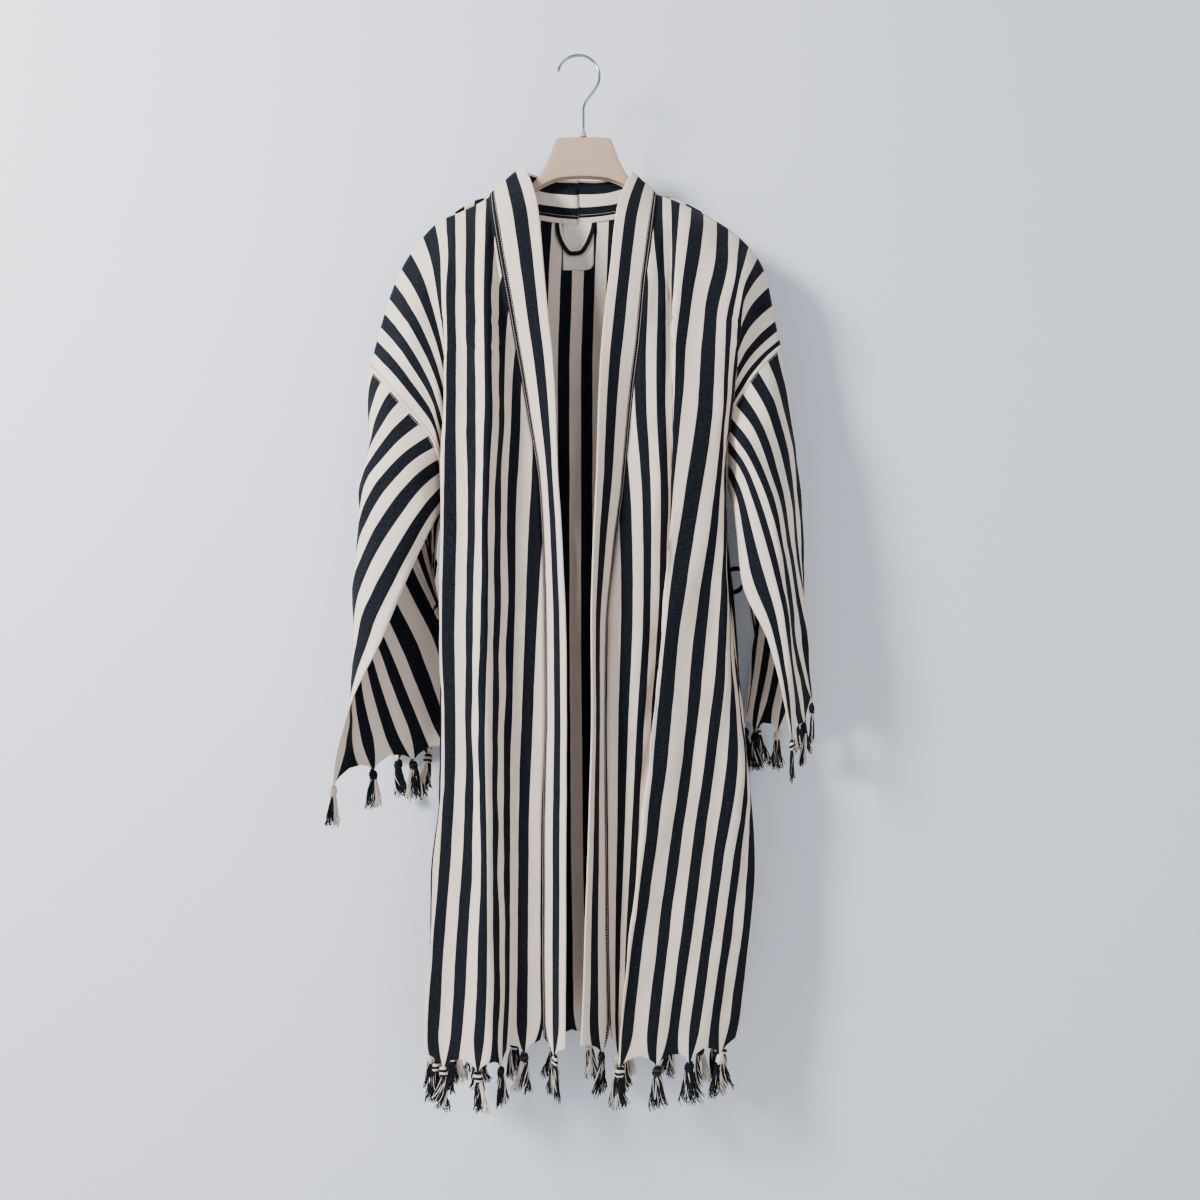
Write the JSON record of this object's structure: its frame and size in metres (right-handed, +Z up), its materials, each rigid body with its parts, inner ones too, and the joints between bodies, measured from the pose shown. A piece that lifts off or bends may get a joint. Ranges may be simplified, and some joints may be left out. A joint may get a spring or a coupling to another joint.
{
  "type": "striped open-front robe on a coat hanger",
  "caption": "Open-front striped cotton robe with a folded shawl band, dropped sleeves and knotted fringe at hem and cuffs, hanging on a plastic coat hanger with a wire hook.",
  "frame": {"origin": "the inner top of the hanger's hook, where it rests on what carries it", "axes": "+Z up, -Y out of the robe's open front, +X to the right of a viewer who faces the front"},
  "size_m": [0.6175, 0.1253, 1.3475],
  "materials": {
    "striped_cotton": "woven, matt, upright cream and dark stripes",
    "band_cotton": "woven, matt, striped lengthwise",
    "fringe_cotton": "loose thread, cream and dark mixed",
    "label_tape": "smooth woven tape, bare",
    "hanger_plastic": "satin beige",
    "hook_steel": "bright wire"
  },
  "bodies": {
    "root": {"back": "striped_cotton", "front_left": "striped_cotton", "front_right": "striped_cotton", "sleeve_left": "striped_cotton", "sleeve_right": "striped_cotton", "band_left": "band_cotton", "band_right": "band_cotton", "hanging_loop": "striped_cotton", "belt_loop_left": "striped_cotton", "belt_loop_right": "striped_cotton", "neck_label": "label_tape", "fringe_front_left": "fringe_cotton", "fringe_front_right": "fringe_cotton", "fringe_back": "fringe_cotton", "fringe_sleeve_left": "fringe_cotton", "fringe_sleeve_right": "fringe_cotton", "hanger_body": "hanger_plastic", "hook_socket": "hanger_plastic", "hook": "hook_steel"}
  },
  "joints": []
}
